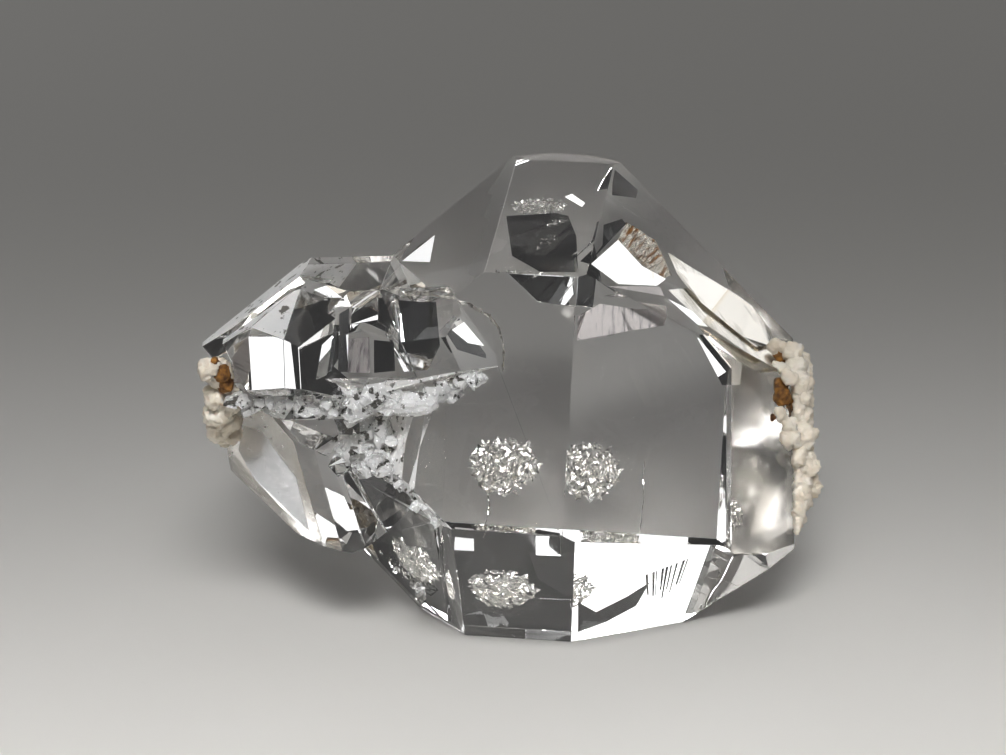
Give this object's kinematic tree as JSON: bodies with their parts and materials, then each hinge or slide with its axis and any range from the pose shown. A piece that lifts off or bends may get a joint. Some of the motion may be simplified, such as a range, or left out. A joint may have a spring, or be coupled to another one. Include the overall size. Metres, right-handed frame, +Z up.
{
  "type": "herkimer diamond quartz",
  "caption": "Water-clear, doubly terminated quartz crystal lying on a long face, with smaller crystals grown into one end and a knobbly rind of pale matrix on both ends.",
  "frame": {"origin": "centre of the bounding box's footprint, on the surface that the stone lies on", "axes": "+Z up from the resting face, +X along the long side to the viewer's right, -Y towards the viewer"},
  "size_m": [0.0242, 0.0198, 0.016],
  "materials": {
    "clear_quartz": "glassy natural crystal faces, water-clear",
    "matrix_rind": "dull, rough, cream stone with brown clay in its hollows"
  },
  "bodies": {
    "root": {"quartz_crystal": "clear_quartz", "matrix_rind_right": "matrix_rind", "matrix_rind_left": "matrix_rind"}
  },
  "joints": []
}
